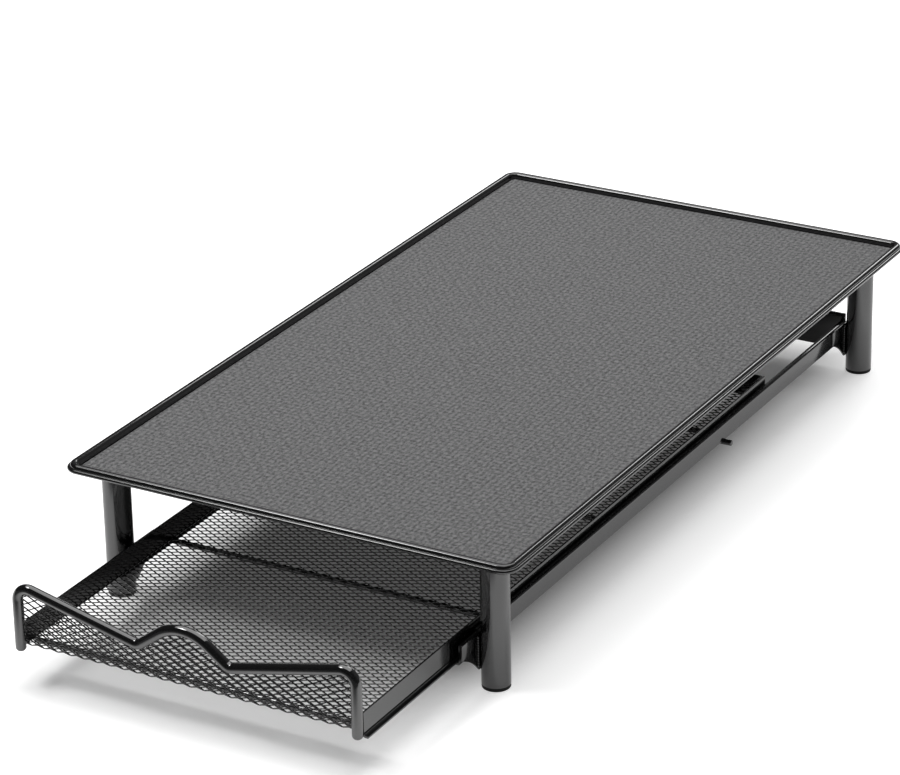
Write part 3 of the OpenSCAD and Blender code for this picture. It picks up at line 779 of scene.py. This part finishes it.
def wave_z(x):
    """Height of the wire's centre line at a distance x from the middle."""
    x = abs(x)
    if x > wave_dip_x:
        rise = (wave_end_z - wave_dip_z) / (upright_x - wave_dip_x)
        bend_x = upright_x - end_bend_r
        bend_z = wave_dip_z + (bend_x - wave_dip_x) * rise - end_bend_r * sqrt(1 + rise * rise)
        corner = bend_z + sqrt(max(end_bend_r ** 2 - max(x - bend_x, 0) ** 2, 0))
        return min(wave_dip_z + (x - wave_dip_x) * rise, corner)
    slope = (wave_peak_z - wave_dip_z) / wave_dip_x
    if x * sqrt(1 + slope * slope) > peak_bend_r * slope:
        return wave_dip_z + (wave_dip_x - x) * slope
    crown_z = wave_peak_z - peak_bend_r * sqrt(1 + slope * slope)
    return crown_z + sqrt(peak_bend_r ** 2 - x * x)


bmesh.ops.delete(
    mesh_bm,
    geom=[
        f for f in mesh_bm.faces
        if fold_top - f.calc_center_median().y > wave_z(f.calc_center_median().x)
    ],
    context="FACES",
)
for vert in mesh_bm.verts:
    vert.co.y = max(vert.co.y, fold_top - wave_z(vert.co.x))
bmesh.ops.inset_individual(
    mesh_bm, faces=mesh_bm.faces[:], thickness=strand_w / 2, depth=0, use_even_offset=True
)
holes = [f for f in mesh_bm.faces if all(len(v.link_faces) == 3 for v in f.verts)]
for hole in holes:
    fore = min(hole.verts, key=lambda v: v.co.y)
    aft = max(hole.verts, key=lambda v: v.co.y)
    fore.co.z += strand_tilt
    aft.co.z -= strand_tilt
bmesh.ops.delete(mesh_bm, geom=holes, context="FACES_ONLY")
for vert in mesh_bm.verts:
    x, s, lift = vert.co
    if s <= 0:
        vert.co = (x, fold_y - fold_r - lift, fold_top - s)
    elif s < fold_length:
        a = s / fold_r
        r = fold_r + lift
        vert.co = (x, fold_y - r * cos(a), fold_top - r * sin(a))
    else:
        vert.co = (x, fold_y + s - fold_length, fold_top - fold_r - lift)
basket = finished("mesh_basket", mesh_bm, coated_mesh, 80)
thicken = basket.modifiers.new("sheet", "SOLIDIFY")
thicken.thickness = mesh_t * mm
thicken.offset = 0
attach(basket, "drawer")
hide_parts("front_mesh", "floor_mesh")


# ---- Side strips ----
# A 0.9 mm steel strip stands along each side of the drawer. Its lower edge is folded out
# into the flange that slides in the rail.
runner_fold_out_r = 1.6
runner_fold_in_r = 0.7
for side, hand in (("left", -1), ("right", 1)):
    low, high = in_mm(f"drawer_side_{side}")
    out_x = max(abs(low.x), abs(high.x))
    in_x = min(abs(low.x), abs(high.x))
    section = [
        (in_x, low.z, runner_fold_out_r), (in_x, high.z, cut_edge_r),
        (in_x + sheet_t, high.z, cut_edge_r),
        (in_x + sheet_t, low.z + sheet_t, runner_fold_in_r),
        (out_x, low.z + sheet_t, cut_edge_r), (out_x, low.z, cut_edge_r),
    ]
    strip_bm = bmesh.new()
    outline(strip_bm, [(hand * x, low.y, z, r) for x, z, r in section])
    extrude_faces(strip_bm, strip_bm.faces[:], (0, high.y - low.y, 0))
    strip = finished(f"side_strip_{side}", strip_bm, coated_sheet)
    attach(strip, "drawer")
    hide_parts(f"drawer_side_{side}")


# ---- Back strip ----
# The drawer's back is a 0.9 mm strip between the side strips. Its ends are turned
# forward into tabs that are spot welded to them.
low, high = in_mm("drawer_back")
tab_z = panel_high.z + 0.05
tab_fold_out_r = 1.3
tab_fold_in_r = 0.4
skirt_inset = 1.5
back_bm = bmesh.new()
outline(
    back_bm,
    [
        (low.x, low.y, tab_z, 0), (low.x, high.y, tab_z, tab_fold_out_r),
        (high.x, high.y, tab_z, tab_fold_out_r), (high.x, low.y, tab_z, 0),
        (high.x - sheet_t, low.y, tab_z, 0),
        (high.x - sheet_t, high.y - sheet_t, tab_z, tab_fold_in_r),
        (low.x + sheet_t, high.y - sheet_t, tab_z, tab_fold_in_r),
        (low.x + sheet_t, low.y, tab_z, 0),
    ],
)
extrude_faces(back_bm, back_bm.faces[:], (0, 0, high.z - tab_z))
soften(back_bm, 0.18)
block(
    back_bm, Vector((low.x + skirt_inset, high.y - sheet_t, low.z)),
    Vector((high.x - skirt_inset, high.y, tab_z)),
)
back = finished("back_strip", back_bm, coated_sheet)
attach(back, "drawer")
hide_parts("drawer_back")


# ---- Wires under the drawer's floor ----
# Three 2.8 mm cross wires carry the mesh. Behind them a fourth is cranked down at both
# ends, passes under the rails and stops the drawer at the front brackets.
low, high = in_mm("floor_cross_wires")
cross_count = 3
cross_r = (high.z - low.z) / 2
cross_z = low.z + cross_r
cross_pitch = (high.y - low.y - 2 * cross_r) / (cross_count - 1)
cross_bm = bmesh.new()
for k in range(cross_count):
    y = low.y + cross_r + k * cross_pitch
    bent_rod(cross_bm, [(low.x, y, cross_z), (high.x, y, cross_z)], [], cross_r, 16)
round_ends(cross_bm, 0.4)
cross_wires = finished("cross_wires", cross_bm, coated_wire, 60)
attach(cross_wires, "drawer")
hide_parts("floor_cross_wires")

low, high = in_mm("stop_bar")
stop_y = (low.y + high.y) / 2
stop_r = (high.y - low.y) / 2
end_z = low.z + stop_r
span_z = high.z - stop_r
knee_x = 82.85
joggle_x = 78.56
stop_bend_r = 3
stop_corners = [
    (low.x, stop_y, end_z), (-knee_x, stop_y, end_z), (-joggle_x, stop_y, span_z),
    (joggle_x, stop_y, span_z), (knee_x, stop_y, end_z), (high.x, stop_y, end_z),
]
stop_bm = bmesh.new()
bent_rod(stop_bm, stop_corners, [stop_bend_r] * 4, stop_r, 20)
round_ends(stop_bm, 0.5)
stop_bar = finished("stop_rod", stop_bm, coated_wire, 60)
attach(stop_bar, "drawer")
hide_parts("stop_bar")
